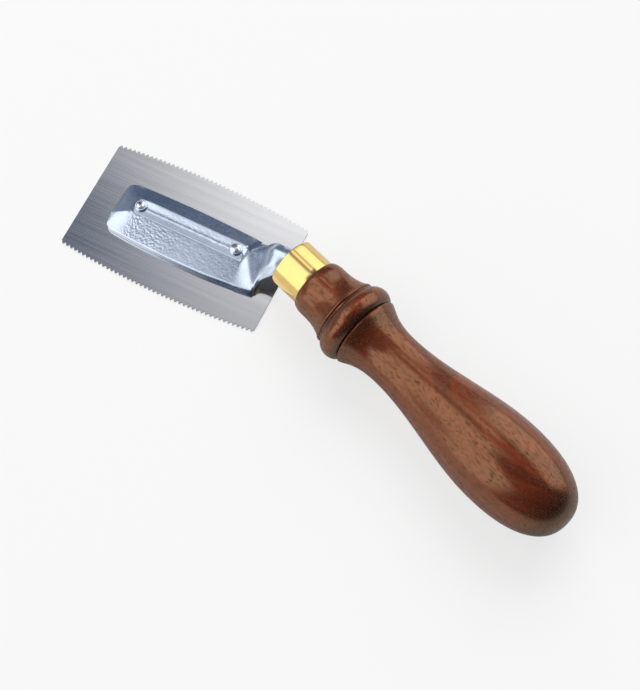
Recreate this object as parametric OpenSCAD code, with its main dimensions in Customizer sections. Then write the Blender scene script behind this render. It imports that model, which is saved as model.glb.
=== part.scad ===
// Veneer saw. A thin steel blade, toothed on both long edges, is riveted under a forged holder.
// The holder's neck is cranked up and sideways, and its tang carries a ferrule and a turned handle.
// Origin: middle of the blade's flat face. +X points to the handle, +Z from the blade to the holder.

/* [Blade] */
// Length of the blade between its straight ends
blade_l = 76.2; // [72:0.1:84]
// Width over the tooth tips at the middle of the blade
blade_w = 47.5; // [44:0.1:56]
// Bow of each toothed edge, from its ends to its middle
edge_bow = 2.25; // [1:0.05:4]
// Thickness of the blade
blade_t = 0.65; // [0.5:0.05:0.9]
// Teeth along each edge
teeth = 45; // [30:1:60]
// Depth of the teeth
tooth_d = 1.05; // [0.6:0.05:1.3]

/* [Holder] */
// Height of the crests beside the channel, above the blade
crest_h = 3.5; // [3:0.1:4.5]
// Depth of the channel between the crests
channel_d = 0.45; // [0.2:0.05:0.8]
// Diameter of the round tang
tang_d = 6.35; // [5:0.05:8]
// Length of the tang inside the handle
tang_l = 48; // [30:1:60]

/* [Rivets] */
// Distance between the two rivets
rivet_spacing = 37.6; // [34:0.1:38]
// Diameter of a rivet's shank
shank_d = 3.2; // [2.5:0.1:3.6]
// Diameter of the countersunk head, flush with the flat face
head_d = 6.2; // [5:0.1:7]
// Diameter of the clinched end, seen in the channel
clinch_d = 4.5; // [4:0.1:5]
// Height of the clinched end above its seat
clinch_h = 1; // [0.6:0.1:1.4]

/* [Ferrule] */
// Outer diameter of the ferrule
ferrule_d = 18; // [17:0.1:19]
// Length of the ferrule
ferrule_l = 11.6; // [9:0.1:14]
// Wall thickness of the ferrule
ferrule_wall = 0.9; // [0.6:0.1:1.5]

/* [Handle] */
// Length from the ferrule's mouth to the butt
handle_l = 127.6; // [120:0.1:140]
// Diameter of the collar behind the ferrule
collar_d = 20.8; // [20.4:0.1:22]
// Diameter of the bead at its crest
bead_d = 29.5; // [28.5:0.1:30.5]
// Diameter at the thin of the grip
grip_d = 19.4; // [18:0.1:22]
// Diameter of the belly
belly_d = 31.6; // [31:0.1:34]
// Angle of the handle to the blade's length, seen from above
handle_skew = 19.6; // [10:0.1:25]

/* [Hidden] */
$fn = 96;
eps = 0.01;

// Rivet places, on the channel's middle line
rivet_mid_x = 0.4;
rivet_y = 2.2;
front_rivet_x = rivet_mid_x - rivet_spacing / 2;
rear_rivet_x = rivet_mid_x + rivet_spacing / 2;
head_h = (head_d - shank_d) / 2;
// Top of the flat seat that is cut for each clinched end
seat_z = blade_t + crest_h - channel_d - 0.15;
seat_d = clinch_d + 0.5;
dimple_d = 1.9;
dimple_depth = 0.8;
// How far a cutter runs past the skin
clear = 5;

// The tang starts a little inside the neck and ends in a taper
tang_lead = 1.6;
tang_tip = 2;

// Tooth edge: an arc of the given bow through its two ends
function bow_radius(bow) = (pow(blade_l / 2, 2) + bow * bow) / (2 * bow);
function edge_y(x) = blade_w / 2 - bow_radius(edge_bow) + sqrt(pow(bow_radius(edge_bow), 2) - x * x);
pitch = blade_l / teeth;

// The far edge's teeth from left to right, as alternating roots and tips
function tooth_edge() = [
    for (i = [0 : 2 * teeth])
        let (x = -blade_l / 2 + i * pitch / 2)
        [x, edge_y(x) - (i % 2 == 0 ? tooth_d : 0)]
];

function turned(points) = [for (p = points) -p];

// Curve from p[0] to p[3] that leaves towards p[1] and arrives from p[2]
function bezier(p, steps) = [
    for (i = [0 : steps])
        let (t = i / steps, u = 1 - t)
        u * u * u * p[0] + 3 * u * u * t * p[1] + 3 * u * t * t * p[2] + t * t * t * p[3]
];

// Handle outline as [radius, distance from the ferrule's mouth]
tenon_r = ferrule_d / 2 - ferrule_wall;
tenon_recess = 0.4;
collar_end = 16.5;
fillet_at = 25.3;
fillet_w = 1.5;
fillet_r = 12.95;
bead_at = 31.3;
bead_half = 4;
bead_foot_r = 12.6;
rim_at = 35.9;
rim_r = 13.2;
grip_at = 50.6;
belly_at = 98.8;
butt_power = 2.35;

function shoulder() = bezier([
    [ferrule_d / 2 + 0.1, ferrule_l],
    [ferrule_d / 2 + 0.7, ferrule_l],
    [collar_d / 2, ferrule_l + 1.6],
    [collar_d / 2, ferrule_l + 4]
], 6);

function flare() = bezier([
    [collar_d / 2, collar_end],
    [collar_d / 2, collar_end + 4.5],
    [fillet_r - 1.6, fillet_at - 2.7],
    [fillet_r - 0.4, fillet_at]
], 8);

function bead() =
    let (
        rise = bead_d / 2 - bead_foot_r,
        radius = (bead_half * bead_half + rise * rise) / (2 * rise),
        half_angle = asin(bead_half / radius)
    )
    [
        for (i = [0 : 12])
            let (angle = half_angle * (i / 6 - 1))
            [bead_d / 2 - radius + radius * cos(angle), bead_at + radius * sin(angle)]
    ];

function cove() = bezier([
    [rim_r, rim_at],
    [rim_r - 0.8, rim_at + 2.5],
    [grip_d / 2 - 0.1, grip_at - 9.5],
    [grip_d / 2, grip_at]
], 10);

function swell() = [
    for (i = [1 : 16])
        let (u = i / 16)
        [
            grip_d / 2 + (belly_d - grip_d) / 2 * (3 * u * u - 2 * u * u * u),
            grip_at + u * (belly_at - grip_at)
        ]
];

function butt() = [
    for (i = [1 : 17])
        let (angle = i * 5, u = sin(angle))
        [
            belly_d / 2 * pow(1 - pow(u, butt_power), 1 / butt_power),
            belly_at + u * (handle_l - belly_at)
        ]
];

function handle_outline() = concat(
    [[0, tenon_recess], [tenon_r, tenon_recess], [tenon_r, ferrule_l]],
    shoulder(),
    flare(),
    [[fillet_r, fillet_at], [fillet_r, fillet_at + fillet_w]],
    bead(),
    cove(),
    swell(),
    butt(),
    [[0, handle_l]]
);

// The saw lies on its blade, bead and belly, so the handle climbs a little towards its butt
handle_rise = asin((belly_d - bead_d) / 2 / (belly_at - bead_at));

// Middle of the ferrule's mouth, where the handle's axis starts
mouth_x = 40.8;
mouth_y = 2.6;
mouth_z = max([for (p = handle_outline()) p.x * cos(handle_rise) - p.y * sin(handle_rise)]);

// Puts a shape drawn along +Z onto the handle's axis, with its base at the ferrule's mouth
module on_handle_axis() {
    translate([mouth_x, mouth_y, mouth_z])
        rotate([0, 90 - handle_rise, -handle_skew])
            children();
}

// Point of the handle's axis frame: along the axis, sideways to the far side, and up
function axis_point(along, side, up) =
    [
        mouth_x + along * cos(handle_skew) + side * sin(handle_skew),
        mouth_y - along * sin(handle_skew) + side * cos(handle_skew),
        mouth_z + along * sin(handle_rise) + up
    ];

// Every section across the holder has 8 points, in this order: under the middle, near foot, near edge,
// near crest, channel, far crest, far edge, far foot. Their heights are above the blade.
near_crest_y = -1.2;
far_crest_y = 4.9;
channel_y = (near_crest_y + far_crest_y) / 2;
channel_h = crest_h - channel_d;

function plate_section(x, near_y, far_y, near_h, far_h) = [
    [x, 0, 0],
    [x, near_y, 0],
    [x, near_y, near_h],
    [x, near_crest_y, crest_h],
    [x, channel_y, channel_h],
    [x, far_crest_y, crest_h],
    [x, far_y, far_h],
    [x, far_y, 0]
];

// The left end is hipped: both crests end beside the rivet, and a ridge runs down to the rounded end
left_end_sections = [
    [
        [-27.1, 0, 0], [-27.1, -6.4, 0], [-27.1, -6.4, 1.7], [-27.1, -3.9, crest_h - 1.6],
        [-27.1, -0.6, crest_h - 1.8], [-27.1, 2.6, crest_h - 2], [-27.1, 6.2, 1.2], [-27.1, 6.2, 0]
    ],
    [
        [-26.4, 0, 0], [-26.4, -8.8, 0], [-26.4, -8.8, 2], [-25.8, -3.4, crest_h - 1.2],
        [-26.0, -0.2, crest_h - 1.5], [-26.2, 3.4, crest_h - 1.8], [-26.4, 8.3, 1.3], [-26.4, 8.3, 0]
    ],
    [
        [-24.4, 0, 0], [-24.4, -9.9, 0], [-24.4, -9.9, 2.2], [-23.4, -2.4, crest_h - 0.6],
        [-23.8, 0.8, crest_h - 0.9], [-24.2, 4.2, crest_h - 1.3], [-24.4, 9.5, 1.5], [-24.4, 9.5, 0]
    ],
    [
        [-20.8, 0, 0], [-20.8, -10.3, 0], [-20.8, -10.3, 2.45], [-20.3, near_crest_y, crest_h - 0.05],
        [-20.5, channel_y, crest_h - 0.35], [-20.7, 4.7, crest_h - 0.6], [-20.8, 9.8, 1.65], [-20.8, 9.8, 0]
    ]
];

plate_sections = [
    plate_section(-17.0, -10.6, 9.95, 2.55, 1.7),
    plate_section(-8.0, -10.95, 10.15, 2.6, 1.75),
    plate_section(2.0, -11.1, 10.2, 2.7, 1.8),
    plate_section(14.0, -10.9, 9.9, 2.9, 1.9),
    plate_section(21.5, -10.3, 9.6, 3.1, 2)
];

// The neck's foot runs obliquely over the plate's right end, where the metal was bent up and sideways
neck_sections = [
    [
        [26.5, 0, 0], [28.0, -9.8, 0], [28.0, -9.8, 3.3], [25.6, -3.2, 3.9],
        [25.2, 0.8, 4.4], [25.4, 4.6, 4.3], [26.4, 9.2, 2.4], [26.4, 9.2, 0]
    ],
    [
        [29.6, 1, 0], [31.2, -8.7, 0], [31.2, -8.7, 3.5], [28.4, -3.6, 5.2],
        [28.0, 1.0, 7.0], [28.2, 4.8, 6.8], [29.0, 8.6, 4.2], [29.0, 8.6, 0.6]
    ],
    [
        [32.6, 2, 2.6], [32.4, -4.4, 1.0], [32.4, -4.4, 4.0], [30.8, -2.0, 8.6],
        [30.6, 1.8, 10.6], [31.0, 5.0, 10.4], [31.8, 8.0, 8.4], [32.0, 7.8, 4.4]
    ],
    [
        [35.6, 2.4, 7.2], [35.2, -1.6, 6.0], [35.0, -2.2, 8.2], [33.6, -0.8, 12.6],
        [33.4, 1.8, 14.2], [33.8, 4.6, 14.0], [34.6, 7.3, 11.8], [35.0, 6.8, 8.4]
    ]
];

// The round tang's section, with its points in the same order
function tang_section(along) = [
    for (angle = [270, 225, 170, 115, 90, 65, 10, 315])
        axis_point(along, tang_d / 2 * cos(angle), tang_d / 2 * sin(angle))
];

holder_sections = concat(
    [
        for (section = concat(left_end_sections, plate_sections, neck_sections))
            [for (point = section) point + [0, 0, blade_t]]
    ],
    [tang_section(-2.6), tang_section(-0.6)]
);

// Point at t between b and c on the smooth curve through a, b, c and d
function smooth_point(a, b, c, d, t) =
    b + 0.5 * t * (c - a + t * (2 * a - 5 * b + 4 * c - d + t * (3 * (b - c) + d - a)));

// Sections with steps - 1 further ones worked out between each two
function smooth_sections(sections, steps) = [
    for (i = [0 : len(sections) - 2], k = [0 : steps - 1])
        [
            for (j = [0 : len(sections[0]) - 1])
                smooth_point(
                    sections[max(i - 1, 0)][j],
                    sections[i][j],
                    sections[i + 1][j],
                    sections[min(i + 2, len(sections) - 1)][j],
                    k / steps
                )
        ],
    sections[len(sections) - 1]
];

// Solid skin over a row of sections that all have the same number of points
module loft(sections) {
    n = len(sections[0]);
    last = len(sections) - 1;
    crown = floor(n / 2);
    polyhedron(
        points = [for (s = sections) each s],
        faces = concat(
            [for (j = [1 : n - 2]) [crown, (crown + j + 1) % n, (crown + j) % n]],
            [
                for (i = [0 : last - 1], j = [0 : n - 1])
                    each [
                        [i * n + j, (i + 1) * n + (j + 1) % n, (i + 1) * n + j],
                        [i * n + j, i * n + (j + 1) % n, (i + 1) * n + (j + 1) % n]
                    ]
            ],
            [for (j = [1 : n - 2]) [last * n + crown, last * n + (crown + j) % n, last * n + (crown + j + 1) % n]]
        )
    );
}

// Room for one rivet in blade and holder: countersink from the flat face, and hole
module rivet_hole(x) {
    translate([x, rivet_y, 0]) {
        cylinder(h = head_h, d1 = head_d, d2 = shank_d);
        cylinder(h = seat_z + clear, d = shank_d);
    }
}

module rivet(x) {
    r = shank_d / 2;
    rim = clinch_d / 2;
    color("gainsboro")
    translate([x, rivet_y, 0])
        rotate_extrude()
            polygon([
                [0, 0],
                [head_d / 2, 0],
                [r, head_h],
                [r, seat_z],
                [rim - 0.15, seat_z],
                [rim, seat_z + clinch_h * 0.3],
                [rim - 0.15, seat_z + clinch_h * 0.7],
                [rim - 0.6, seat_z + clinch_h],
                [dimple_d / 2 + 0.2, seat_z + clinch_h],
                [dimple_d / 2 - 0.2, seat_z + clinch_h - 0.3],
                [dimple_d / 2 - 0.4, seat_z + clinch_h - dimple_depth],
                [0, seat_z + clinch_h - dimple_depth]
            ]);
}

module blade() {
    color("silver")
    difference() {
        linear_extrude(height = blade_t)
            polygon(concat(turned(tooth_edge()), turned(turned(tooth_edge()))));
        rivet_hole(front_rivet_x);
        rivet_hole(rear_rivet_x);
    }
}

module holder() {
    color("lightsteelblue")
    difference() {
        union() {
            loft(smooth_sections(holder_sections, 3));
            on_handle_axis() {
                translate([0, 0, -tang_lead])
                    cylinder(h = tang_l + tang_lead - tang_tip, d = tang_d);
                translate([0, 0, tang_l - tang_tip])
                    cylinder(h = tang_tip, d1 = tang_d, d2 = tang_d - 2);
            }
        }
        rivet_hole(front_rivet_x);
        rivet_hole(rear_rivet_x);
        for (x = [front_rivet_x, rear_rivet_x])
            translate([x, rivet_y, seat_z])
                cylinder(h = clear, d = seat_d);
    }
}

module front_rivet() {
    rivet(front_rivet_x);
}

module rear_rivet() {
    rivet(rear_rivet_x);
}

module ferrule() {
    r = ferrule_d / 2;
    edge = 0.25;
    color("gold")
    on_handle_axis()
        difference() {
            rotate_extrude()
                polygon([
                    [0, 0],
                    [r - edge, 0],
                    [r, edge],
                    [r, ferrule_l],
                    [0, ferrule_l]
                ]);
            translate([0, 0, -eps])
                cylinder(h = ferrule_l + 2 * eps, r = tenon_r);
        }
}

module handle() {
    color("sienna")
    on_handle_axis()
        difference() {
            rotate_extrude()
                polygon(handle_outline());
            translate([0, 0, -eps])
                cylinder(h = tang_l + eps, d = tang_d);
        }
}

blade();
holder();
front_rivet();
rear_rivet();
ferrule();
handle();
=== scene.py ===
"""Veneer saw: its modelled pieces, finishes, camera and light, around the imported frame."""

import math

import bmesh
import bpy
from bpy.props import FloatProperty, FloatVectorProperty, PointerProperty
from mathutils import Euler, Matrix, Quaternion, Vector


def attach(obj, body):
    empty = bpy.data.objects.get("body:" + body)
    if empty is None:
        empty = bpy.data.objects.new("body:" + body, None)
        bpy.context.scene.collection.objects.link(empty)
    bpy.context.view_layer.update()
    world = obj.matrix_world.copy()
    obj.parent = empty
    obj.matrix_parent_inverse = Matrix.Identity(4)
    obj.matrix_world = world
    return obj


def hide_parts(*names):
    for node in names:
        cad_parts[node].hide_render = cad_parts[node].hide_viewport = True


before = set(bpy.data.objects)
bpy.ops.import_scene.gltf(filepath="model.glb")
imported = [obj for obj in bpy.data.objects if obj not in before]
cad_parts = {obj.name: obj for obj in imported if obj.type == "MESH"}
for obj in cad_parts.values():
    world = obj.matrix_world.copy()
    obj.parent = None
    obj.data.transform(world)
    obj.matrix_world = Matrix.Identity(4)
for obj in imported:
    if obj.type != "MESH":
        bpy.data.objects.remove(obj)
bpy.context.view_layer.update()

bl_info = {
    "name": "Veneer saw",
    "version": (1, 0, 0),
    "blender": (4, 5, 0),
    "location": "3D View > Sidebar > Veneer saw",
    "description": "Pieces, finishes and stage of a veneer saw",
    "category": "Object",
}

MM = 0.001


def linear(hex_colour):
    """The linear colour, with alpha, of an sRGB hex value."""
    shares = [int(hex_colour[i:i + 2], 16) / 255 for i in (0, 2, 4)]
    return [s / 12.92 if s <= 0.04045 else ((s + 0.055) / 1.055) ** 2.4 for s in shares] + [1.0]


def length(name, description, millimetres):
    """A property that holds a length, given in millimetres."""
    return FloatProperty(
        name=name, description=description, default=millimetres * MM, unit="LENGTH", precision=5
    )


def colour(name, description, hex_colour):
    """A property that holds a colour, given as sRGB hex."""
    return FloatVectorProperty(
        name=name, description=description, default=linear(hex_colour), size=4, min=0, max=1,
        subtype="COLOR"
    )


def angle(name, description, degrees):
    """A property that holds an angle, given in degrees."""
    return FloatProperty(
        name=name, description=description, default=math.radians(degrees), subtype="ANGLE"
    )


class BladeSettings(bpy.types.PropertyGroup):
    """Thin steel blade, toothed on both long edges"""

    thickness: length("Thickness", "Thickness of the blade", 0.65)
    steel: colour("Steel", "Colour of the ground steel", "cdced0")


class HolderSettings(bpy.types.PropertyGroup):
    """Forged and cranked holder that carries the blade"""

    crest_h: length("Crest height", "Height of the crests beside the channel, above the blade", 3.5)
    channel_d: length("Channel depth", "Depth of the channel between the crests", 0.45)
    tang_d: length("Tang diameter", "Diameter of the tang inside the handle", 6.35)
    tang_l: length("Tang length", "Length of the tang inside the handle", 48)
    pit_d: length("Pit depth", "Depth of the pits that the forge scale left", 0.07)
    zinc: colour("Zinc", "Colour of the bright zinc plating", "cad6e5")
    # Painted shade: the plating is drawn darker where it faces down, as under the neck
    shaded_zinc: colour("Shaded zinc", "Colour of the plating where it faces down", "868c94")


class RivetSettings(bpy.types.PropertyGroup):
    """Two rivets that hold the blade under the holder"""

    spacing: length("Spacing", "Distance between the two rivets", 37.6)
    shank_d: length("Shank diameter", "Diameter of a rivet's shank", 3.2)
    head_d: length("Head diameter", "Diameter of the countersunk head", 6.2)
    clinch_d: length("Clinch diameter", "Diameter of the clinched end", 4.5)
    clinch_h: length("Clinch height", "Height of the clinched end above its seat", 1)
    zinc: colour("Zinc", "Colour of the rivets' zinc", "dfe6ee")


class FerruleSettings(bpy.types.PropertyGroup):
    """Brass tube round the handle's front end"""

    outer_d: length("Diameter", "Outer diameter of the ferrule", 18)
    tube_l: length("Length", "Length of the ferrule", 11.6)
    wall: length("Wall", "Wall thickness of the ferrule", 0.9)
    brass: colour("Brass", "Colour of the polished brass", "f3d084")


class HandleSettings(bpy.types.PropertyGroup):
    """Turned wooden handle"""

    handle_l: length("Length", "Length from the ferrule's mouth to the butt", 127.6)
    collar_d: length("Collar diameter", "Diameter of the collar behind the ferrule", 20.8)
    bead_d: length("Bead diameter", "Diameter of the bead at its crest", 29.5)
    grip_d: length("Grip diameter", "Diameter at the thin of the grip", 19.4)
    belly_d: length("Belly diameter", "Diameter of the belly", 31.6)
    skew: angle("Skew", "Angle of the handle to the blade's length", 19.6)
    early_wood: colour("Early wood", "Colour of the light growth bands", "782b08")
    late_wood: colour("Late wood", "Colour of the dark growth bands", "5a1d03")
    pore: colour("Pores", "Colour of the open pores", "260c04")
    # Painted shade in part: besides showing the end grain, this colour darkens the wood where it faces
    # along the axis, as at the butt
    end_grain_and_shade: colour("End grain", "Colour where the oil soaks into end grain", "1e0601")


class StageSettings(bpy.types.PropertyGroup):
    """Floor, camera and light"""

    floor: colour("Floor", "Colour of the floor", "f4f4f4")
    elevation: angle("Elevation", "Camera height over the floor", 69)
    azimuth: angle("Azimuth", "Camera turn round the object", 26.58)
    distance: length("Distance", "Distance from the camera to the point it looks at", 540)


# Edit mode, as by hand


def clear_selection():
    """Leaves edit mode and deselects everything."""
    if bpy.context.mode != "OBJECT":
        bpy.ops.object.mode_set(mode="OBJECT")
    bpy.ops.object.select_all(action="DESELECT")


def select_at(places):
    """Selects the vertices closest to these places and nothing else."""
    mesh = bmesh.from_edit_mesh(bpy.context.edit_object.data)
    for v in mesh.verts:
        v.select_set(False)
    for place in places:
        min(mesh.verts, key=lambda v: (v.co - place).length_squared).select_set(True)
    mesh.select_flush_mode()


def finish_mesh(name, smooth_angle):
    """Merges doubles, turns the faces outwards, puts the place into the mesh and shades it smooth."""
    bpy.ops.mesh.select_all(action="SELECT")
    bpy.ops.mesh.remove_doubles(threshold=0.002 * MM)
    bpy.ops.mesh.normals_make_consistent(inside=False)
    bpy.ops.object.mode_set(mode="OBJECT")
    bpy.ops.object.transform_apply(location=True, rotation=True, scale=True)
    piece = bpy.context.object
    piece.name = name
    piece.data.name = name
    bpy.ops.object.shade_smooth_by_angle(angle=math.radians(smooth_angle))
    return piece


def apply_modifier(piece, kind, **settings):
    """Adds a modifier to the piece and applies it."""
    modifier = piece.modifiers.new(kind.title(), kind)
    for key, value in settings.items():
        setattr(modifier, key, value)
    bpy.ops.object.modifier_apply(modifier=modifier.name)


def turned_piece(name, outline, origin, axis, steps, smooth_angle):
    """A piece turned round an axis from an outline of (distance along, radius) points, in millimetres."""
    out = axis.orthogonal().normalized()
    places = [(origin + axis * along + out * radius) * MM for along, radius in outline]
    clear_selection()
    bpy.ops.mesh.primitive_plane_add(size=MM, location=places[0])
    bpy.ops.object.mode_set(mode="EDIT")
    bpy.ops.mesh.merge(type="CENTER")
    for here, there in zip(places, places[1:]):
        bpy.ops.mesh.extrude_vertices_move(TRANSFORM_OT_translate={"value": there - here})
    bpy.ops.mesh.select_all(action="SELECT")
    bpy.ops.mesh.spin(steps=steps, angle=math.tau, center=origin * MM, axis=axis)
    return finish_mesh(name, smooth_angle)


def arc(centre, radius, start, end, steps):
    """Points on a circle, from one angle to another in degrees."""
    angles = [math.radians(start + (end - start) * i / steps) for i in range(steps + 1)]
    return [(centre[0] + radius * math.cos(a), centre[1] + radius * math.sin(a)) for a in angles]


def bezier(a, b, c, d, steps):
    """Points on the curve from a to d that leaves towards b and arrives from c."""
    shares = [i / steps for i in range(steps + 1)]
    a, b, c, d = (Vector(p) for p in (a, b, c, d))
    return [
        tuple(a * (1 - t) ** 3 + b * 3 * t * (1 - t) ** 2 + c * 3 * t * t * (1 - t) + d * t ** 3)
        for t in shares
    ]


# Shapes of the pieces, in millimetres


# Places along the handle's axis, from the ferrule's mouth
TENON_AT, BEAD_AT, BELLY_AT = 0.4, 31.3, 98.8
# Half the bead's length, and the radius at its foot
BEAD_HALF, BEAD_FOOT_R = 4.0, 12.6
# The ferrule's mouth, seen from above
MOUTH_X, MOUTH_Y = 40.8, 2.6
# The crests beside the channel, across the plate
NEAR_CREST_Y, FAR_CREST_Y = -1.2, 4.9
CHANNEL_Y = (NEAR_CREST_Y + FAR_CREST_Y) / 2


def handle_outline(s, ferrule):
    """Outline of the handle as (distance from the ferrule's mouth, radius), from the tenon's end to
    the butt."""
    tube_l, tube_r = ferrule.tube_l / MM, ferrule.outer_d / MM / 2
    tenon_r = tube_r - ferrule.wall / MM
    diameters = (s.collar_d, s.bead_d, s.grip_d, s.belly_d)
    collar_r, bead_r, grip_r, belly_r = (d / MM / 2 for d in diameters)
    collar_end, rim_at, grip_at = 16.5, 35.9, 50.6
    fillet_at, fillet_w, fillet_r, rim_r = 25.3, 1.5, 12.4, 13.2
    end = s.handle_l / MM
    shoulder = bezier(
        (tube_l, tube_r + 0.1), (tube_l, tube_r + 0.7),
        (tube_l + 1.6, collar_r), (tube_l + 4, collar_r), 10
    )
    flare = bezier(
        (collar_end, collar_r), (collar_end + 4.5, collar_r),
        (fillet_at - 2.7, fillet_r - 1.3), (fillet_at - 0.1, fillet_r - 0.3), 14
    )
    fillet = arc((fillet_at + fillet_w / 2, fillet_r - 0.45), fillet_w / 2, 135, 35, 7)
    rise = bead_r - BEAD_FOOT_R
    radius = (BEAD_HALF ** 2 + rise ** 2) / (2 * rise)
    half_angle = math.degrees(math.asin(BEAD_HALF / radius))
    bead = arc((BEAD_AT, bead_r - radius), radius, 90 + half_angle, 90 - half_angle, 20)
    bead_end, groove_r = BEAD_AT + BEAD_HALF, BEAD_FOOT_R - 0.8
    groove = [(bead_end + 0.05, groove_r), (bead_end + 0.4, groove_r)]
    cove = bezier(
        (rim_at + 0.25, rim_r), (rim_at + 2.6, rim_r - 0.8),
        (grip_at - 9.5, grip_r - 0.1), (grip_at, grip_r), 18
    )
    swell = []
    for i in range(1, 25):
        u = i / 24
        rise = (belly_r - grip_r) * u * u * (3 - 2 * u)
        swell.append((grip_at + u * (BELLY_AT - grip_at), grip_r + rise))
    # The butt is a squared-off ellipse; a power of 2 would make it a plain one
    power = 2.35
    butt = []
    for i in range(1, 30):
        u = math.sin(math.radians(i * 3))
        butt.append((BELLY_AT + u * (end - BELLY_AT), belly_r * (1 - u ** power) ** (1 / power)))
    return (
        [(TENON_AT, tenon_r), (tube_l, tenon_r)] + shoulder + flare + fillet + bead + groove
        + [(rim_at - 0.1, rim_r - 0.15)] + cove + swell + butt + [(end, 0)]
    )


def handle_axis():
    """Origin of the handle's axis at the ferrule's mouth in millimetres, its direction and its turn.
    The bead and the belly touch the plane of the blade's flat face, so the axis rises a little."""
    scene = bpy.context.scene
    s = scene.saw_handle
    rise = math.asin((s.belly_d - s.bead_d) / 2 / ((BELLY_AT - BEAD_AT) * MM))
    outline = handle_outline(s, scene.saw_ferrule)
    mouth_z = max(r * math.cos(rise) - along * math.sin(rise) for along, r in outline)
    turn = Euler((0, -rise, -s.skew))
    axis = turn.to_matrix() @ Vector((1, 0, 0))
    return Vector((MOUTH_X, MOUTH_Y, mouth_z)), axis, turn


def bevelled(section):
    """A section of the plate with two more points on the far bevel, from far crest to far edge."""
    crest, edge = Vector(section[5]), Vector(section[6])
    return section[:6] + [crest.lerp(edge, 1 / 3), crest.lerp(edge, 2 / 3)] + section[6:]


def key_sections(s):
    """The holder's sections from its left end to the neck. Each has 10 points, in this order: under
    the middle, near foot, near edge, near crest, channel, far crest, far shoulder, foot of the
    shoulder, far edge, far foot. Heights are above the blade."""
    crest = s.crest_h / MM
    dip = s.channel_d / MM
    left_end = [
        [(-27.1, 0, 0), (-27.1, -6.4, 0), (-27.1, -6.4, 1.7), (-27.1, -3.9, crest - 1.6),
         (-27.1, -0.6, crest - 1.8), (-27.1, 2.6, crest - 2), (-27.1, 6.2, 1.2), (-27.1, 6.2, 0)],
        [(-26.4, 0, 0), (-26.4, -8.8, 0), (-26.4, -8.8, 2), (-25.8, -3.4, crest - 1.2),
         (-26.0, -0.2, crest - 1.5), (-26.2, 3.4, crest - 1.8), (-26.4, 8.3, 1.3), (-26.4, 8.3, 0)],
        [(-24.4, 0, 0), (-24.4, -9.9, 0), (-24.4, -9.9, 2.2), (-23.4, -2.4, crest - 0.6),
         (-23.8, 0.8, crest - 0.9), (-24.2, 4.2, crest - 1.3), (-24.4, 9.5, 1.5), (-24.4, 9.5, 0)],
        [(-20.8, 0, 0), (-20.8, -10.3, 0), (-20.8, -10.3, 2.45), (-20.3, NEAR_CREST_Y, crest - 0.05),
         (-20.5, CHANNEL_Y, crest - 0.35), (-20.7, 4.7, crest - 0.6), (-20.8, 9.8, 1.65), (-20.8, 9.8, 0)],
    ]
    plate = [
        [(x, 0, 0), (x, near, 0), (x, near, near_h), (x, NEAR_CREST_Y, crest),
         (x, CHANNEL_Y, crest - dip), (x, FAR_CREST_Y, crest), (x, far, far_h), (x, far, 0)]
        for x, near, far, near_h, far_h in (
            (-17.0, -10.6, 9.95, 2.55, 1.7),
            (-8.0, -10.95, 10.15, 2.55, 1.75),
            (2.0, -11.1, 10.2, 2.55, 1.8),
            (14.0, -10.9, 9.9, 2.65, 1.9),
            (21.5, -10.3, 9.6, 2.8, 2.0),
        )
    ]
    neck = [
        [(24.8, 0, 0), (25.2, -10.1, 0), (25.2, -10.1, 2.9), (24.0, -1.5, 3.65), (23.8, 1.2, 3.9),
         (23.8, 3.6, 4.2), (24.3, 5.4, 3.5), (24.6, 7.4, 2.8), (24.8, 9.4, 2.0), (24.8, 9.4, 0)],
        [(28.0, 0.4, 0), (29.2, -9.6, 0), (29.2, -9.6, 3.1), (27.6, -3.0, 4.45), (26.6, 0.9, 5.5),
         (26.4, 3.6, 6.1), (27.0, 5.4, 4.7), (27.6, 7.2, 3.5), (28.2, 8.9, 2.7), (28.2, 8.9, 0)],
        [(30.6, 1.0, 1.0), (31.0, -8.2, 0.5), (31.3, -9.0, 3.4), (29.8, -3.2, 6.0), (28.9, 1.2, 8.0),
         (28.8, 4.1, 9.0), (29.2, 6.2, 7.7), (29.6, 7.5, 5.8), (30.0, 8.1, 3.8), (30.0, 7.8, 2.0)],
        [(32.4, 1.4, 3.6), (32.2, -5.2, 2.6), (32.0, -6.4, 4.6), (31.6, -2.2, 8.8), (31.0, 1.7, 11.1),
         (31.0, 4.4, 12.0), (31.3, 7.0, 10.7), (31.8, 8.0, 8.2), (32.0, 7.9, 6.4), (32.0, 7.4, 4.8)],
        [(34.4, 1.9, 6.4), (34.0, -3.4, 5.0), (33.7, -4.7, 6.8), (33.8, -1.2, 11.6), (33.6, 2.0, 13.6),
         (33.5, 4.5, 14.3), (33.7, 7.2, 13.0), (34.1, 8.1, 10.6), (34.3, 7.8, 9.0), (34.4, 7.2, 7.6)],
        [(36.9, 2.4, 9.2), (36.7, -2.3, 8.2), (36.3, -3.5, 9.8), (36.6, -0.6, 13.0), (36.6, 2.1, 14.6),
         (36.5, 4.4, 15.1), (36.6, 6.8, 14.0), (36.9, 7.6, 12.2), (37.0, 7.3, 11.0), (37.1, 6.7, 10.2)],
    ]
    blade_t = Vector((0, 0, bpy.context.scene.saw_blade.thickness / MM))
    sections = [bevelled(section) for section in left_end + plate] + neck
    return [[Vector(p) + blade_t for p in section] for section in sections]


def tang_section(along, half_w, half_h):
    """An oval section on the handle's axis, with its 10 points in the same order."""
    mouth, axis, turn = handle_axis()
    points = []
    for degrees in (270, 235, 195, 125, 90, 60, 30, 0, 335, 305):
        a = math.radians(degrees)
        spoke = Vector((0, half_w * math.cos(a), half_h * math.sin(a)))
        points.append(mouth + axis * along + turn.to_matrix() @ spoke)
    return points


def smooth_point(a, b, c, d, t):
    """Point at t between b and c on the smooth curve through a, b, c and d."""
    return b + 0.5 * t * (c - a + t * (2 * a - 5 * b + 4 * c - d + t * (3 * (b - c) + d - a)))


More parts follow.
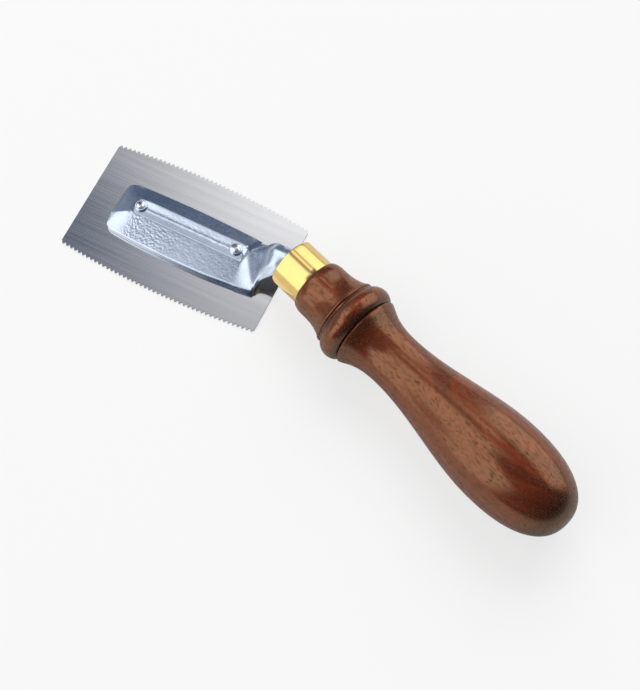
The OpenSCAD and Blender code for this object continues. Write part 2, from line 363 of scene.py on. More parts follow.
def smooth_sections(sections, steps):
    """The sections with steps - 1 further ones worked out between each two."""
    result = []
    last = len(sections) - 1
    for i in range(last):
        around = [sections[max(i - 1, 0)], sections[i], sections[i + 1], sections[min(i + 2, last)]]
        for k in range(steps):
            result.append([smooth_point(*points, k / steps) for points in zip(*around)])
    return result + [sections[last]]


# Faces between each key point of a section and the next one
SPANS = (1, 1, 4, 2, 2, 1, 1, 1, 1, 1)
KEYS = [sum(SPANS[:i]) for i in range(len(SPANS))]


def filled(section):
    """A section with the further points that the finer faces need."""
    points = []
    for i, spans in enumerate(SPANS):
        here, there = section[i], section[(i + 1) % len(section)]
        points += [here.lerp(there, k / spans) for k in range(spans)]
    return points


def holder_cage(sections):
    """Draws the holder's left end as a face, extrudes it from section to section and moves its
    corners into place."""
    clear_selection()
    bpy.ops.mesh.primitive_circle_add(vertices=len(sections[0]), radius=MM, fill_type="NGON")
    corners = [v.co.copy() for v in bpy.context.object.data.vertices]
    bpy.ops.object.mode_set(mode="EDIT")
    move_corners(corners, sections[0])
    for before, after in zip(sections, sections[1:]):
        select_at(before)
        step = after[0] - before[0]
        bpy.ops.mesh.extrude_region_move(TRANSFORM_OT_translate={"value": step})
        move_corners([place + step for place in before], after)


def move_corners(old, new):
    """Moves each vertex from its old place to its new one, where they differ."""
    for here, there in zip(old, new):
        if (there - here).length > 1e-6 * MM:
            select_at([here])
            bpy.ops.transform.translate(value=there - here)


def crease(sections, key, first, last, value):
    """Creases the edges along one key point, from one section to another."""
    select_at([section[KEYS[key]] for section in sections[first:last + 1]])
    bpy.ops.transform.edge_crease(value=value)


def smoothstep(low, high, value):
    """0 below low, 1 above high, and a smooth rise between them."""
    t = min(max((value - low) / (high - low), 0), 1)
    return t * t * (3 - 2 * t)


def pitted_share(x, y):
    """How deep the pits are at a place on the plate, as a share of the deepest ones."""
    on_slope = smoothstep(-10.6, -9.4, y) * (1 - smoothstep(-1.9, -1.2, y))
    in_channel = smoothstep(-0.8, 0.2, y) * (1 - smoothstep(3.8, 4.8, y))
    # The slope's pits get shallow to the right, and the channel's are shallow all along
    slope_share = 1 - 0.62 * smoothstep(-8, 2, x)
    channel_share = 0.4
    return max(
        on_slope * smoothstep(-21, -18.5, x) * slope_share,
        in_channel * smoothstep(-14, -10, x) * channel_share
    )


def cupped_middle(radius, depth):
    """Outline of a rivet's cupped end inside its rim, as (height over the rim, radius)."""
    sphere_r = (radius ** 2 + depth ** 2) / (2 * depth)
    radii = [radius * k / 10 for k in range(10, -1, -1)]
    return [(sphere_r - depth - math.sqrt(sphere_r ** 2 - r * r), r) for r in radii]


def domed_middle(radius, foot, rise):
    """Outline of a rivet's end with a groove round a dome, inside its rim, in the same form."""
    groove = [(-0.15, radius + 0.2), (-0.28, radius)]
    radii = [radius * k / 10 for k in range(9, -1, -1)]
    return groove + [(rise * (1 - (r / radius) ** 2) - foot, r) for r in radii]


# Materials


def set_sockets(tree, node, sockets):
    """Gives each socket its value, or links it to the output socket of another node."""
    for name, value in sockets.items():
        if isinstance(value, bpy.types.NodeSocket):
            tree.links.new(value, node.inputs[name])
        else:
            node.inputs[name].default_value = value


def add(tree, kind, sockets=None, **settings):
    """Adds a shader node with its settings and links. A Mix node of colours takes its share on
    socket 0 and the colours on 6 and 7."""
    made = tree.nodes.new(kind)
    for key, value in settings.items():
        setattr(made, key, value)
    set_sockets(tree, made, sockets or {})
    return made


def new_material(name):
    """A material with only its Principled shader. Returns the material, its tree and the shader."""
    material = bpy.data.materials.new(name)
    material.use_nodes = True
    tree = material.node_tree
    shader = next(n for n in tree.nodes if n.type == "BSDF_PRINCIPLED")
    return material, tree, shader


def set_material(piece, material):
    """Makes this the piece's only material."""
    piece.data.materials.clear()
    piece.data.materials.append(material)


def toned(tree, base, pattern, low, high, darkest, lightest):
    """Output socket with a colour that a pattern makes darker and lighter."""
    shade = add(tree, "ShaderNodeMapRange", {
        "Value": pattern, "From Min": low, "From Max": high, "To Min": darkest, "To Max": lightest,
    })
    mixed = add(
        tree, "ShaderNodeMix", {0: 1.0, 6: base, 7: shade.outputs[0]},
        data_type="RGBA", blend_type="MULTIPLY"
    )
    return mixed.outputs[2]


def ground_steel(s):
    """Spring steel, surface-ground along the blade. The eye sees a satin grey that stretches every
    reflection across the blade, with fine straight lines along it."""
    material, tree, shader = new_material("ground_spring_steel")
    place = add(tree, "ShaderNodeTexCoord").outputs["Object"]
    # Grinding lines are 0.05 mm wide in truth; they are drawn 0.35 mm wide, or none would show
    lines = add(tree, "ShaderNodeMapping", {
        "Vector": place, "Scale": (1 / (40 * MM), 1 / (0.35 * MM), 1 / (5 * MM)),
    })
    grain = add(
        tree, "ShaderNodeTexNoise", {"Vector": lines.outputs[0], "Scale": 1.0, "Detail": 3.0}
    ).outputs["Fac"]
    broad = add(tree, "ShaderNodeMapping", {
        "Vector": place, "Scale": (1 / (90 * MM), 1 / (2.5 * MM), 1 / (5 * MM)),
    })
    bands = add(
        tree, "ShaderNodeTexNoise", {"Vector": broad.outputs[0], "Scale": 1.0, "Detail": 2.0}
    ).outputs["Fac"]
    tone = add(tree, "ShaderNodeMath", {0: grain, 1: bands}, operation="ADD")
    rough = add(tree, "ShaderNodeMapRange", {
        "Value": grain, "From Min": 0.3, "From Max": 0.7, "To Min": 0.08, "To Max": 0.14,
    })
    bump = add(tree, "ShaderNodeBump", {"Height": grain, "Strength": 0.06, "Distance": 0.02 * MM})
    across = add(tree, "ShaderNodeCombineXYZ", {"X": 0.0, "Y": 1.0, "Z": 0.0})
    set_sockets(tree, shader, {
        "Base Color": toned(tree, s.steel, tone.outputs[0], 0.6, 1.4, 0.88, 1.1),
        "Metallic": 1.0, "Roughness": rough.outputs[0], "Normal": bump.outputs[0],
        "Anisotropic": 0.4, "Tangent": across.outputs[0],
    })
    return material


def zinc_plating(s):
    """Forged steel under bright zinc. The plating follows the pits of the forge scale, so the eye
    sees a bluish mirror that is crumpled where the skin is pitted."""
    material, tree, shader = new_material("zinc_plated_forging")
    place = add(tree, "ShaderNodeTexCoord").outputs["Object"]
    fine = add(
        tree, "ShaderNodeTexNoise", {"Vector": place, "Scale": 1 / (0.7 * MM), "Detail": 2.0}
    ).outputs["Fac"]
    cloud = add(
        tree, "ShaderNodeTexNoise", {"Vector": place, "Scale": 1 / (6 * MM), "Detail": 2.0}
    ).outputs["Fac"]
    # Painted shade: the surfaces that face down, as in the crook of the neck, are drawn in a darker
    # colour, and they are rougher too
    facing = add(tree, "ShaderNodeTexCoord").outputs["Normal"]
    upward = add(tree, "ShaderNodeSeparateXYZ", {"Vector": facing}).outputs["Z"]
    thin = add(
        tree, "ShaderNodeMapRange", {"Value": upward, "From Min": -0.1, "From Max": -0.6}
    ).outputs[0]
    plated = toned(tree, s.zinc, cloud, 0.3, 0.7, 0.92, 1.06)
    # Painted shade mixed into the plating's colour where the surface faces down
    coloured = add(
        tree, "ShaderNodeMix", {0: thin, 6: plated, 7: s.shaded_zinc}, data_type="RGBA"
    )
    smooth = add(tree, "ShaderNodeMapRange", {
        "Value": fine, "From Min": 0.3, "From Max": 0.7, "To Min": 0.12, "To Max": 0.2,
    })
    dull = add(
        tree, "ShaderNodeMath", {0: thin, 1: 0.3, 2: smooth.outputs[0]}, operation="MULTIPLY_ADD"
    )
    # The neck was linished after it was cranked, so it is satin
    along = add(tree, "ShaderNodeSeparateXYZ", {"Vector": place}).outputs["X"]
    satin = add(
        tree, "ShaderNodeMapRange", {"Value": along, "From Min": 23 * MM, "From Max": 27 * MM}
    )
    rough = add(
        tree, "ShaderNodeMath", {0: satin.outputs[0], 1: 0.14, 2: dull.outputs[0]},
        operation="MULTIPLY_ADD"
    )
    bump = add(tree, "ShaderNodeBump", {"Height": fine, "Strength": 0.15, "Distance": 0.05 * MM})
    set_sockets(tree, shader, {
        "Base Color": coloured.outputs[2], "Metallic": 1.0,
        "Roughness": rough.outputs[0], "Normal": bump.outputs[0],
    })
    return material


def rivet_zinc(s):
    """Soft steel rivet under bright zinc, beaten smooth at the clinched end, so it mirrors more than
    the forging."""
    material, tree, shader = new_material("zinc_plated_rivet")
    place = add(tree, "ShaderNodeTexCoord").outputs["Object"]
    fine = add(
        tree, "ShaderNodeTexNoise", {"Vector": place, "Scale": 1 / (0.5 * MM), "Detail": 1.0}
    ).outputs["Fac"]
    bump = add(tree, "ShaderNodeBump", {"Height": fine, "Strength": 0.2, "Distance": 0.03 * MM})
    set_sockets(tree, shader, {
        "Base Color": toned(tree, s.zinc, fine, 0.3, 0.7, 0.92, 1.0),
        "Metallic": 1.0, "Roughness": 0.25, "Normal": bump.outputs[0],
    })
    return material


def on_handle(tree):
    """Output socket with the place on the handle in millimetres: X along its axis, Y sideways, Z up."""
    mouth, axis, turn = handle_axis()
    place = add(tree, "ShaderNodeTexCoord").outputs["Object"]
    mapping = add(tree, "ShaderNodeMapping", {
        "Vector": place, "Location": mouth * MM, "Rotation": turn, "Scale": (MM, MM, MM),
    }, vector_type="TEXTURE")
    return mapping.outputs[0]


def polished_brass(s):
    """Drawn brass tube, polished on the lathe. The eye sees a yellow mirror with faint rings."""
    material, tree, shader = new_material("polished_brass")
    # Polishing rings are finer than 0.05 mm; they are drawn 0.12 mm wide, or none would show
    rings = add(
        tree, "ShaderNodeMapping", {"Vector": on_handle(tree), "Scale": (1 / 0.12, 1 / 60, 1 / 60)}
    )
    lathe = add(
        tree, "ShaderNodeTexNoise", {"Vector": rings.outputs[0], "Scale": 1.0, "Detail": 2.0}
    ).outputs["Fac"]
    cloud = add(
        tree, "ShaderNodeTexNoise", {"Vector": on_handle(tree), "Scale": 0.35, "Detail": 2.0}
    ).outputs["Fac"]
    rough = add(tree, "ShaderNodeMapRange", {
        "Value": lathe, "From Min": 0.3, "From Max": 0.7, "To Min": 0.13, "To Max": 0.19,
    })
    bump = add(tree, "ShaderNodeBump", {"Height": lathe, "Strength": 0.08, "Distance": 0.02 * MM})
    set_sockets(tree, shader, {
        "Base Color": toned(tree, s.brass, cloud, 0.3, 0.7, 0.94, 1.0),
        "Metallic": 1.0, "Roughness": rough.outputs[0], "Normal": bump.outputs[0],
    })
    return material


def oiled_hardwood(s):
    """Open-grained red-brown hardwood, sanded and oiled. The eye sees soft growth bands and short dark
    pores along the handle under a satin gloss. Where the surface turns along the handle's axis it is drawn
    darker, partly end grain that drinks more oil and partly painted shade."""
    material, tree, shader = new_material("oiled_hardwood")
    place = on_handle(tree)
    wander = add(
        tree, "ShaderNodeMapping", {"Vector": place, "Scale": (1 / 45, 1 / 14, 1 / 14)}
    )
    drift = add(
        tree, "ShaderNodeTexNoise", {"Vector": wander.outputs[0], "Scale": 1.0, "Detail": 3.0}
    )
    # Growth bands lie round a pith 60 mm from the handle's axis
    pith = add(
        tree, "ShaderNodeMapping", {"Vector": place, "Location": (0, 38, 46), "Scale": (0.02, 1, 1)}
    )
    reach = add(tree, "ShaderNodeVectorMath", {0: pith.outputs[0]}, operation="LENGTH")
    bent = add(
        tree, "ShaderNodeMath", {0: drift.outputs["Fac"], 1: 9.0, 2: reach.outputs["Value"]},
        operation="MULTIPLY_ADD"
    )
    rings = add(
        tree, "ShaderNodeTexNoise", {"W": bent.outputs[0], "Scale": 0.45, "Detail": 3.0},
        noise_dimensions="1D"
    )
    fibre_map = add(
        tree, "ShaderNodeMapping", {"Vector": place, "Scale": (1 / 14, 1 / 0.45, 1 / 0.45)}
    )
    fibres = add(
        tree, "ShaderNodeTexNoise", {"Vector": fibre_map.outputs[0], "Scale": 1.0, "Detail": 3.0}
    ).outputs["Fac"]
    figure = add(
        tree, "ShaderNodeMath", {0: fibres, 1: 0.55, 2: rings.outputs["Fac"]},
        operation="MULTIPLY_ADD"
    )
    banding = add(tree, "ShaderNodeMapRange", {
        "Value": figure.outputs[0], "From Min": 0.55, "From Max": 1.0,
    }, interpolation_type="SMOOTHSTEP")
    wood = add(
        tree, "ShaderNodeMix", {0: banding.outputs[0], 6: s.late_wood, 7: s.early_wood},
        data_type="RGBA"
    )
    # The turning cuts the pores lengthwise into dashes 0.1 mm wide; they are drawn 0.27 mm wide and
    # 2.2 mm long, or few would show
    pore_map = add(
        tree, "ShaderNodeMapping", {"Vector": place, "Scale": (1 / 2.2, 1 / 0.27, 1 / 0.27)}
    )
    pore_noise = add(
        tree, "ShaderNodeTexNoise", {"Vector": pore_map.outputs[0], "Scale": 1.0, "Detail": 0.0}
    )
    pores = add(tree, "ShaderNodeMapRange", {
        "Value": pore_noise.outputs["Fac"], "From Min": 0.595, "From Max": 0.665, "To Max": 0.8,
    }, interpolation_type="SMOOTHSTEP").outputs[0]
    pored = add(
        tree, "ShaderNodeMix", {0: pores, 6: wood.outputs[2], 7: s.pore}, data_type="RGBA"
    )
    # End grain shows where the surface turns towards the handle's axis; the very dark colour there is
    # partly painted shade, as on the butt and on the flanks of the bead and cove
    facing = add(tree, "ShaderNodeTexCoord").outputs["Normal"]
    across = add(
        tree, "ShaderNodeVectorMath", {0: facing, 1: handle_axis()[1]}, operation="DOT_PRODUCT"
    )
    cut = add(tree, "ShaderNodeMath", {0: across.outputs["Value"]}, operation="ABSOLUTE")
    end_grain_and_shade = add(tree, "ShaderNodeMapRange", {
        "Value": cut.outputs[0], "From Min": 0.15, "From Max": 0.75, "To Max": 0.95,
    }, interpolation_type="SMOOTHSTEP").outputs[0]
    # End grain darkening and painted shade, mixed into the wood's colour
    soaked_and_shaded = add(
        tree, "ShaderNodeMix", {0: end_grain_and_shade, 6: pored.outputs[2], 7: s.end_grain_and_shade}, data_type="RGBA"
    )
    rough = add(tree, "ShaderNodeMapRange", {
        "Value": fibres, "From Min": 0.3, "From Max": 0.7, "To Min": 0.13, "To Max": 0.18,
    })
    matt = add(
        tree, "ShaderNodeMath", {0: end_grain_and_shade, 1: 0.12, 2: rough.outputs[0]}, operation="MULTIPLY_ADD"
    )
    broken = add(
        tree, "ShaderNodeMath", {0: pores, 1: 0.6, 2: matt.outputs[0]}, operation="MULTIPLY_ADD"
    )
    height = add(tree, "ShaderNodeMath", {0: pores, 1: -1.0, 2: fibres}, operation="MULTIPLY_ADD")
    bump = add(tree, "ShaderNodeBump", {
        "Height": height.outputs[0], "Strength": 0.2, "Distance": 0.1 * MM,
    })
    set_sockets(tree, shader, {
        "Base Color": soaked_and_shaded.outputs[2], "Roughness": broken.outputs[0],
        "Normal": bump.outputs[0], "IOR": 1.65, "Specular IOR Level": 1.0,
        "Specular Tint": linear("ffcfa4"),
    })
    return material


# Operators


class SAW_OT_blade(bpy.types.Operator):
    """Gives the toothed blade its ground steel"""

    bl_idname = "saw.blade"
    bl_label = "Finish the blade"

    def execute(self, context):
        set_material(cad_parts["blade"], ground_steel(context.scene.saw_blade))
        return {"FINISHED"}


class SAW_OT_holder(bpy.types.Operator):
    """Models the forged holder from its plate to the end of its tang"""

    bl_idname = "saw.holder"
    bl_label = "Model the holder"

    def execute(self, context):
        s = context.scene.saw_holder
        tang_r, tang_l = s.tang_d / MM / 2, s.tang_l / MM
        keys = smooth_sections(key_sections(s) + [tang_section(-0.5, 5.0, 2.6)], 4)
        # The neck ends in the ferrule's mouth, and the round tang goes on to its chamfered end
        keys += [tang_section(*oval) for oval in (
            (0.1, 4.7, 2.8), (0.25, tang_r, tang_r), (0.8, tang_r, tang_r),
            (tang_l - 2, tang_r, tang_r), (tang_l, tang_r - 1, tang_r - 1),
        )]
        sections = [[p * MM for p in filled(section)] for section in keys]
        holder_cage(sections)
        # Key point, first and last of the sections along the creased edge, and how sharp it is
        for key, first, last, value in (
            (1, 0, 44, 1.0), (1, 45, 58, 0.8), (2, 0, 44, 0.95), (2, 45, 58, 0.85),
            (9, 0, 40, 1.0), (9, 41, 46, 0.9), (8, 0, 38, 0.95), (8, 39, 44, 0.9),
            (3, 4, 11, 0.45), (3, 12, 33, 0.75), (3, 34, 37, 0.3),
            (5, 8, 11, 0.45), (5, 12, 33, 0.8), (5, 34, 36, 0.4), (6, 40, 56, 0.5),
        ):
            crease(sections, key, first, last, value)
        select_at(sections[0])
        bpy.ops.transform.edge_crease(value=0.7)
        piece = finish_mesh("forged_holder", 180)
        apply_modifier(piece, "SUBSURF", levels=3, render_levels=3)
        self.add_pits(piece, s)
        set_material(piece, zinc_plating(s))
        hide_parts("holder")
        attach(piece, "root")
        return {"FINISHED"}

    def add_pits(self, piece, s):
        """Presses pits into the plate's top, deepest on the near side's left half."""
        group = piece.vertex_groups.new(name="pitted")
        # Only the plate's top is pitted, more than 2 mm above the blade and left of the neck
        lowest = bpy.context.scene.saw_blade.thickness / MM + 2
        fade_x, neck_x = 22, 26
        for v in piece.data.vertices:
            x, y, z = v.co / MM
            if z >= lowest and x <= neck_x:
                share = pitted_share(x, y) * (1 - smoothstep(fade_x, neck_x, x))
                group.add([v.index], share, "REPLACE")
        texture = bpy.data.textures.new("forge_scale", "CLOUDS")
        texture.noise_scale = 0.5 * MM
        texture.noise_depth = 1
        texture.noise_type = "HARD_NOISE"
        apply_modifier(
            piece, "DISPLACE", texture=texture, texture_coords="LOCAL", direction="Z",
            mid_level=0.3, strength=-s.pit_d * 2, vertex_group="pitted"
        )


class SAW_OT_rivets(bpy.types.Operator):
    """Turns the two rivets, each with its dimpled clinched end"""

    bl_idname = "saw.rivets"
    bl_label = "Model the rivets"

    def execute(self, context):
        s = context.scene.saw_rivets
        holder = context.scene.saw_holder
        head_r, shank_r, rim_r = (d / MM / 2 for d in (s.head_d, s.shank_d, s.clinch_d))
        # The clinched ends are beaten 0.15 mm into the channel
        seat_z = (context.scene.saw_blade.thickness + holder.crest_h - holder.channel_d) / MM - 0.15
        top_z = seat_z + s.clinch_h / MM
        foot_round, rim_round, head_round = 0.45, 0.42, 0.05
        material = rivet_zinc(s)
        rivet_y, mid_x, half = 2.2, 0.4, s.spacing / MM / 2
        for node, x, middle in (
            ("front_rivet", mid_x - half, cupped_middle(1.4, 0.45)),
            ("rear_rivet", mid_x + half, domed_middle(1.4, 0.26, 0.32)),
        ):
            outline = [(0, 0), (0, head_r - head_round), (head_round, head_r)]
            outline += [(head_r - shank_r, shank_r), (seat_z, shank_r)]
            outline += arc((seat_z + foot_round, rim_r - foot_round), foot_round, 180, 90, 6)
            outline += arc((top_z - rim_round, rim_r - rim_round), rim_round, 90, 0, 8)
            outline += [(top_z + height, r) for height, r in middle]
            piece = turned_piece(
                node + "_turned", outline, Vector((x, rivet_y, 0)), Vector((0, 0, 1)), 64, 50
            )
            set_material(piece, material)
            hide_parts(node)
            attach(piece, "root")
        return {"FINISHED"}


class SAW_OT_ferrule(bpy.types.Operator):
    """Turns the brass ferrule with its rounded mouth"""

    bl_idname = "saw.ferrule"
    bl_label = "Model the ferrule"

    def execute(self, context):
        s = context.scene.saw_ferrule
        outer, end = s.outer_d / MM / 2, s.tube_l / MM
        inner = outer - s.wall / MM
        bore_round, mouth_round, rear_round = 0.25, 0.35, 0.15
        outline = [(end, inner), (bore_round, inner)]
        outline += arc((bore_round, inner + bore_round), bore_round, 270, 180, 4)
        outline += arc((mouth_round, outer - mouth_round), mouth_round, 180, 90, 6)
        outline += [(end * k / 6, outer) for k in range(1, 6)]
        outline += arc((end - rear_round, outer - rear_round), rear_round, 90, 0, 3)
        outline += [(end, inner)]
        mouth, axis, turn = handle_axis()
        piece = turned_piece("turned_ferrule", outline, mouth, axis, 128, 40)
        set_material(piece, polished_brass(s))
        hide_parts("ferrule")
        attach(piece, "root")
        return {"FINISHED"}


class SAW_OT_handle(bpy.types.Operator):
    """Turns the wooden handle, with the bore for the tang"""

    bl_idname = "saw.handle"
    bl_label = "Model the handle"

    def execute(self, context):
        scene = context.scene
        s = scene.saw_handle
        tang_r, tang_l = scene.saw_holder.tang_d / MM / 2, scene.saw_holder.tang_l / MM
        mouth, axis, turn = handle_axis()
        bore = [(tang_l, 0), (tang_l, tang_r), (TENON_AT, tang_r)]
        outline = bore + handle_outline(s, scene.saw_ferrule)
        piece = turned_piece("turned_handle", outline, mouth, axis, 160, 28)
        set_material(piece, oiled_hardwood(s))
        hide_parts("handle")
        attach(piece, "root")
        return {"FINISHED"}


# Where the camera looks, in millimetres, and its focal length and sensor width in millimetres
CAMERA_TARGET = (60.8, -15.43, 0.65)
FOCAL_L, SENSOR_W = 82.27, 36
# Radii of the floor and of the room on it, and distance of the lamps, in metres
FLOOR_R, ROOM_R, LAMPS_AT = 18, 17, 5
# How much of the floor that the camera sees is lit from below, and strength of the world's light
LIT_FROM_BELOW = 0.7
PLAIN_LIGHT = 0.2
# Far softbox, near softbox and the small one overhead: azimuth from +X towards +Y, elevation and
# roll in degrees, half width, half height and width of the soft edge as tangents, and radiance as
# a share of white
SOFTBOXES = (
    (63, 31, 0, 0.59, 0.49, 0.15, 1.66),
    (211, 34, 6, 0.7, 0.79, 0.6, 2.38),
    (113, 52, 67, 0.21, 0.165, 0.04, 0.45),
)
# Soft glows: azimuth, elevation and radius in degrees, and radiance at the middle
GLOWS = (
    (187, 75.5, 20, 1.2),
    (116.5, 63.8, 10.2, 1.2),
    (172, 18, 50, 0.32),
    (127, 55, 9, 0.7),
)
# Dark flags round the camera, in front of the near softbox and on the right: azimuth, elevation,
# inner and outer radius in degrees, and the share of light that passes the middle
CAMERA_FLAG = (-63.4, 69.2, 23, 29, 0)
SOFTBOX_FLAG = (196, 10, 22, 32, 0.1)
RIGHT_FLAG = (-30, 15, 40, 70, 0.5)
# The softboxes are slightly warm, and nothing in the room is brighter than this in a mirror
WARM = (1.03, 0.99, 0.93)
BRIGHTEST = 1.6
# Lamps: azimuth and elevation in degrees, width and height in metres, and radiance
LAMPS = (
    ("softbox_far", 108, 42, 5, 4, 3.3),
    ("softbox_near", 215, 40, 6, 6, 1.3),
)


def direction(azimuth, elevation):
    """Unit vector at an azimuth from +X towards +Y and an elevation, both in degrees."""
    a, e = math.radians(azimuth), math.radians(elevation)
    return Vector((math.cos(a) * math.cos(e), math.sin(a) * math.cos(e), math.sin(e)))


class SAW_OT_stage(bpy.types.Operator):
    """Builds the floor, the camera and the soft studio light"""

    bl_idname = "saw.stage"
    bl_label = "Build the stage"

    def execute(self, context):
        s = context.scene.saw_stage
        self.add_camera(context, s)
        self.add_floor(s)
        self.add_surround()
        self.add_world()
        self.add_softboxes()
        context.scene.view_settings.view_transform = "Standard"
        return {"FINISHED"}

    def add_camera(self, context, s):
        """Camera at the photograph's angle, on the side of the saw's near edge."""
        data = bpy.data.cameras.new("camera")
        camera = bpy.data.objects.new("camera", data)
        context.scene.collection.objects.link(camera)
        back = direction(math.degrees(s.azimuth) - 90, math.degrees(s.elevation))
        camera.location = Vector(CAMERA_TARGET) * MM + back * s.distance
        camera.rotation_euler = back.to_track_quat("Z", "Y").to_euler()
        data.lens = FOCAL_L
        data.sensor_width = SENSOR_W
        context.scene.camera = camera

    def add_floor(self, s):
        """White paper floor, wide enough to run out of sight. For the camera it is lit from below
        too, as on a light table, which keeps the shadow light."""
        clear_selection()
        bpy.ops.mesh.primitive_circle_add(vertices=64, radius=FLOOR_R, fill_type="NGON")
        floor = bpy.context.object
        floor.name = "floor"
        material, tree, shader = new_material("white_paper")
        set_sockets(tree, shader, {
            "Base Color": s.floor, "Roughness": 1.0, "Specular IOR Level": 0.0,
        })
        path = add(tree, "ShaderNodeLightPath")
        below = add(
            tree, "ShaderNodeMath", {0: path.outputs["Is Camera Ray"], 1: LIT_FROM_BELOW},
            operation="MULTIPLY"
        )
        glow = add(tree, "ShaderNodeEmission", {"Color": linear("ffffff"), "Strength": 1.0})
        mixed = add(tree, "ShaderNodeMixShader", {
            0: below.outputs[0], 1: shader.outputs[0], 2: glow.outputs[0],
        })
        output = next(n for n in tree.nodes if n.type == "OUTPUT_MATERIAL")
        set_sockets(tree, output, {"Surface": mixed.outputs[0]})
        set_material(floor, material)

    def add_surround(self):
        """Dim room round the table with its three softboxes, which only gloss and metal show."""
        clear_selection()
        bpy.ops.mesh.primitive_uv_sphere_add(segments=48, ring_count=24, radius=ROOM_R)
        dome = bpy.context.object
        dome.name = "surround"
        material = bpy.data.materials.new("dim_room")
        material.use_nodes = True
        tree = material.node_tree
        tree.nodes.clear()
        place = add(tree, "ShaderNodeTexCoord").outputs["Object"]
        unit = add(tree, "ShaderNodeVectorMath", {0: place}, operation="NORMALIZE").outputs[0]
        height = add(tree, "ShaderNodeSeparateXYZ", {"Vector": unit})
        # The ceiling is a little lighter than the walls
        ceiling = add(tree, "ShaderNodeMapRange", {
            "Value": height.outputs["Z"], "From Min": 0.55, "From Max": 0.8,
        }, interpolation_type="SMOOTHSTEP")
        room = add(
            tree, "ShaderNodeMix",
            {0: ceiling.outputs[0], 6: linear("59647a"), 7: linear("5d687e")}, data_type="RGBA"
        )
        levels = [self.softbox_level(tree, unit, *softbox) for softbox in SOFTBOXES]
        for azimuth, elevation, radius, radiance in GLOWS:
            levels.append(
                self.round_level(tree, unit, azimuth, elevation, 0, radius, radiance, 0)
            )
        light = (0, 0, 0)
        for level in levels:
            light = add(
                tree, "ShaderNodeVectorMath", {0: level, 1: WARM, 2: light},
                operation="MULTIPLY_ADD"
            ).outputs[0]
        past_camera, past_softbox, past_right = (
            self.round_level(tree, unit, *flag, 1)
            for flag in (CAMERA_FLAG, SOFTBOX_FLAG, RIGHT_FLAG)
        )
        for operation, others in (
            ("MULTIPLY", {1: past_softbox}),
            ("MULTIPLY_ADD", {1: past_camera, 2: room.outputs[2]}),
            ("MULTIPLY", {1: past_right}),
            ("MINIMUM", {1: (BRIGHTEST,) * 3}),
        ):
            light = add(
                tree, "ShaderNodeVectorMath", {0: light, **others}, operation=operation
            ).outputs[0]
        glow = add(tree, "ShaderNodeEmission", {"Color": light, "Strength": 1.0})
        add(tree, "ShaderNodeOutputMaterial", {"Surface": glow.outputs[0]})
        material.cycles.emission_sampling = "NONE"
        set_material(dome, material)
        dome.visible_camera = False
        dome.visible_diffuse = False
        dome.visible_transmission = False
        dome.visible_shadow = False

    def round_level(self, tree, unit, azimuth, elevation, inner, outer, middle, outside):
        """Output socket that goes from a value in the middle to one outside, between two angles
        round a direction."""
        near = add(
            tree, "ShaderNodeVectorMath", {0: unit, 1: direction(azimuth, elevation)},
            operation="DOT_PRODUCT"
        )
        apart = add(tree, "ShaderNodeMath", {0: near.outputs["Value"]}, operation="ARCCOSINE")
        level = add(tree, "ShaderNodeMapRange", {
            "Value": apart.outputs[0], "From Min": math.radians(inner),
            "From Max": math.radians(outer), "To Min": middle, "To Max": outside,
        }, interpolation_type="SMOOTHSTEP")
        return level.outputs[0]

    def softbox_level(
        self, tree, unit, azimuth, elevation, roll, half_w, half_h, soft, radiance
    ):
        """Output socket that is the radiance where a softbox is seen and 0 elsewhere. Its half
        sizes and the width of its soft edge are tangents."""
        toward = direction(azimuth, elevation)
        right = Vector((0, 0, 1)).cross(toward).normalized()
        right.rotate(Quaternion(toward, math.radians(roll)))
        up = toward.cross(right)
        turn = Matrix((right, up, toward)).transposed().to_euler()
        local = add(
            tree, "ShaderNodeMapping", {"Vector": unit, "Rotation": turn}, vector_type="TEXTURE"
        )
        parts = add(tree, "ShaderNodeSeparateXYZ", {"Vector": local.outputs[0]})
        level = add(
            tree, "ShaderNodeMapRange", {"Value": parts.outputs["Z"], "From Max": 0.1}
        ).outputs[0]
        for axis, half in (("X", half_w), ("Y", half_h)):
            tangent = add(
                tree, "ShaderNodeMath", {0: parts.outputs[axis], 1: parts.outputs["Z"]},
                operation="DIVIDE"
            )
            off = add(tree, "ShaderNodeMath", {0: tangent.outputs[0]}, operation="ABSOLUTE")
            edge = add(tree, "ShaderNodeMapRange", {
                "Value": off.outputs[0], "From Min": half - soft / 2, "From Max": half + soft / 2,
                "To Min": 1.0, "To Max": 0.0,
            }, interpolation_type="SMOOTHSTEP")
            level = add(
                tree, "ShaderNodeMath", {0: level, 1: edge.outputs[0]}, operation="MULTIPLY"
            ).outputs[0]
        bright = add(tree, "ShaderNodeMath", {0: level, 1: radiance}, operation="MULTIPLY")
        return bright.outputs[0]

    def add_world(self):
        """White for what the camera, gloss and glass see of it, and plain light for everything else."""
        world = bpy.data.worlds.new("plain_light")
        bpy.context.scene.world = world
        world.use_nodes = True
        tree = world.node_tree
        tree.nodes.clear()
        path = add(tree, "ShaderNodeLightPath")
        seen = path.outputs["Is Camera Ray"]
        for ray in ("Is Glossy Ray", "Is Transmission Ray"):
            seen = add(
                tree, "ShaderNodeMath", {0: seen, 1: path.outputs[ray]}, operation="MAXIMUM"
            ).outputs[0]
        white = add(tree, "ShaderNodeBackground", {"Color": linear("f8f8f8"), "Strength": 1.0})
        light = add(
            tree, "ShaderNodeBackground", {"Color": linear("ffffff"), "Strength": PLAIN_LIGHT}
        )
        mixed = add(tree, "ShaderNodeMixShader", {0: seen, 1: light.outputs[0], 2: white.outputs[0]})
        add(tree, "ShaderNodeOutputWorld", {"Surface": mixed.outputs[0]})

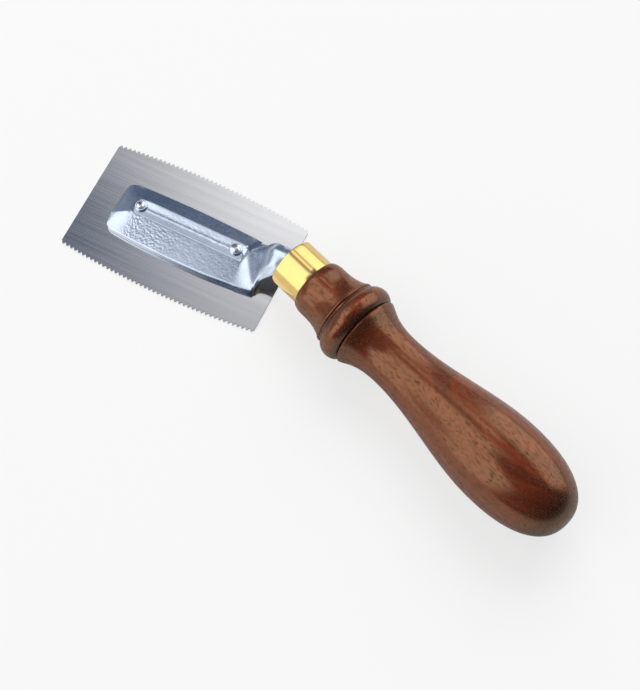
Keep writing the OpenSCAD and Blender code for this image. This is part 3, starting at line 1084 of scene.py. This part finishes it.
    def add_softboxes(self):
        """Two area lamps that light what isn't a mirror. The far one is the stronger, so the shadow
        falls near."""
        for name, azimuth, elevation, wide, high, radiance in LAMPS:
            data = bpy.data.lights.new(name, "AREA")
            data.shape = "RECTANGLE"
            data.size = wide
            data.size_y = high
            data.energy = radiance * math.pi * wide * high
            lamp = bpy.data.objects.new(name, data)
            bpy.context.scene.collection.objects.link(lamp)
            toward = direction(azimuth, elevation)
            lamp.location = toward * LAMPS_AT
            lamp.rotation_euler = toward.to_track_quat("Z", "Y").to_euler()
            lamp.visible_camera = False
            lamp.visible_glossy = False


class SAW_PT_panel(bpy.types.Panel):
    """Lists the saw's pieces and their settings"""

    bl_idname = "SAW_PT_panel"
    bl_label = "Veneer saw"
    bl_space_type = "VIEW_3D"
    bl_region_type = "UI"
    bl_category = "Veneer saw"

    def draw(self, context):
        for operator, settings in PIECES:
            box = self.layout.box()
            box.operator(operator.bl_idname)
            for name in settings.__annotations__:
                box.prop(getattr(context.scene, SETTINGS[settings]), name)


SETTINGS = {
    BladeSettings: "saw_blade",
    HolderSettings: "saw_holder",
    RivetSettings: "saw_rivets",
    FerruleSettings: "saw_ferrule",
    HandleSettings: "saw_handle",
    StageSettings: "saw_stage",
}
PIECES = (
    (SAW_OT_blade, BladeSettings),
    (SAW_OT_holder, HolderSettings),
    (SAW_OT_rivets, RivetSettings),
    (SAW_OT_ferrule, FerruleSettings),
    (SAW_OT_handle, HandleSettings),
    (SAW_OT_stage, StageSettings),
)


def register():
    """Registers the settings, the operators and the panel."""
    for settings, name in SETTINGS.items():
        bpy.utils.register_class(settings)
        setattr(bpy.types.Scene, name, PointerProperty(type=settings))
    for operator, settings in PIECES:
        bpy.utils.register_class(operator)
    bpy.utils.register_class(SAW_PT_panel)


def unregister():
    """Removes what register added."""
    bpy.utils.unregister_class(SAW_PT_panel)
    for operator, settings in reversed(PIECES):
        bpy.utils.unregister_class(operator)
    for settings, name in reversed(SETTINGS.items()):
        delattr(bpy.types.Scene, name)
        bpy.utils.unregister_class(settings)


def main():
    """Builds the saw and its stage."""
    register()
    bpy.ops.saw.blade()
    bpy.ops.saw.holder()
    bpy.ops.saw.rivets()
    bpy.ops.saw.ferrule()
    bpy.ops.saw.handle()
    bpy.ops.saw.stage()


if __name__ == "__main__":
    main()
